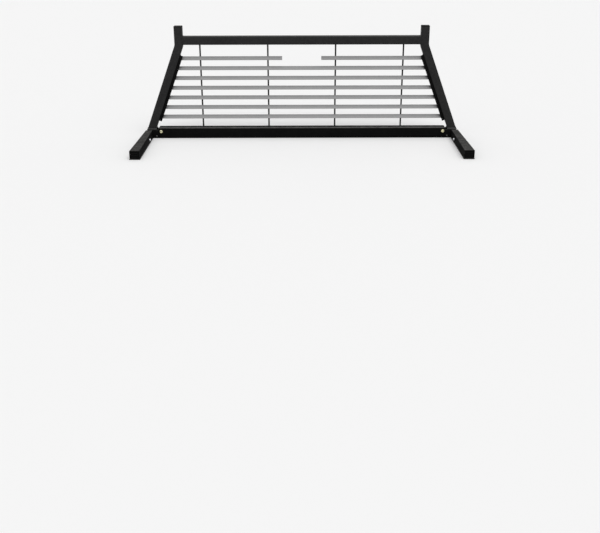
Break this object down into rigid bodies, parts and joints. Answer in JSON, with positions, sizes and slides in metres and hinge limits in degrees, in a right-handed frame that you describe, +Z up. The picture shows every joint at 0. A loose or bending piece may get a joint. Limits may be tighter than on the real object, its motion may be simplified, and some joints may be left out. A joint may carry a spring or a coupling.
{
  "type": "headache rack",
  "caption": "Louvered steel headache rack for a pickup bed: square-tube frame with horns, slanted blades, guard rods, and tapered feet that lie on the bed rails.",
  "frame": {"origin": "centre of the footprint, at the height of the bed rails' top faces that the pads rest on", "axes": "+X across the truck, from its left to its right seen from behind; +Y towards the cab; +Z up"},
  "size_m": [1.9394, 0.54, 0.662],
  "materials": {
    "black_coat": "satin black powder coat with a fine texture",
    "deep_black_coat": "deeper black powder coat with a fine texture",
    "grey_blade": "satin mid-grey powder coat",
    "black_plastic": "moulded, lightly grained",
    "black_rubber": "matte sheet rubber",
    "yellow_zinc": "yellow chromate zinc plating",
    "bright_zinc": "bright zinc plating"
  },
  "bodies": {
    "root": {"top_rail": "black_coat", "lower_rail": "deep_black_coat", "louver_1_left": "grey_blade", "louver_1_right": "grey_blade", "louver_2": "grey_blade", "louver_3": "grey_blade", "louver_4": "grey_blade", "louver_5": "grey_blade", "louver_6": "grey_blade", "louver_7": "grey_blade", "guard_rod_1": "black_coat", "guard_rod_2": "black_coat", "guard_rod_3": "black_coat", "guard_rod_4": "black_coat", "upright_left": "black_coat", "horn_cap_left": "black_plastic", "side_angle_left": "deep_black_coat", "base_plate_left": "black_coat", "corner_bracket_left": "deep_black_coat", "corner_pad_left": "black_rubber", "foot_rail_left": "deep_black_coat", "foot_plug_left": "black_plastic", "foot_pad_left": "black_rubber", "rail_bolt_left": "yellow_zinc", "rail_washer_left": "yellow_zinc", "rail_nut_left": "yellow_zinc", "foot_bolt_left": "bright_zinc", "foot_washer_left": "bright_zinc", "foot_nut_left": "bright_zinc", "bracket_screw_left": "deep_black_coat", "anchor_nut_left_front": "bright_zinc", "anchor_nut_left_rear": "bright_zinc", "upright_right": "black_coat", "horn_cap_right": "black_plastic", "side_angle_right": "deep_black_coat", "base_plate_right": "black_coat", "corner_bracket_right": "deep_black_coat", "corner_pad_right": "black_rubber", "foot_rail_right": "deep_black_coat", "foot_plug_right": "black_plastic", "foot_pad_right": "black_rubber", "rail_bolt_right": "yellow_zinc", "rail_washer_right": "yellow_zinc", "rail_nut_right": "yellow_zinc", "foot_bolt_right": "bright_zinc", "foot_washer_right": "bright_zinc", "foot_nut_right": "bright_zinc", "bracket_screw_right": "deep_black_coat", "anchor_nut_right_front": "bright_zinc", "anchor_nut_right_rear": "bright_zinc"}
  },
  "joints": []
}
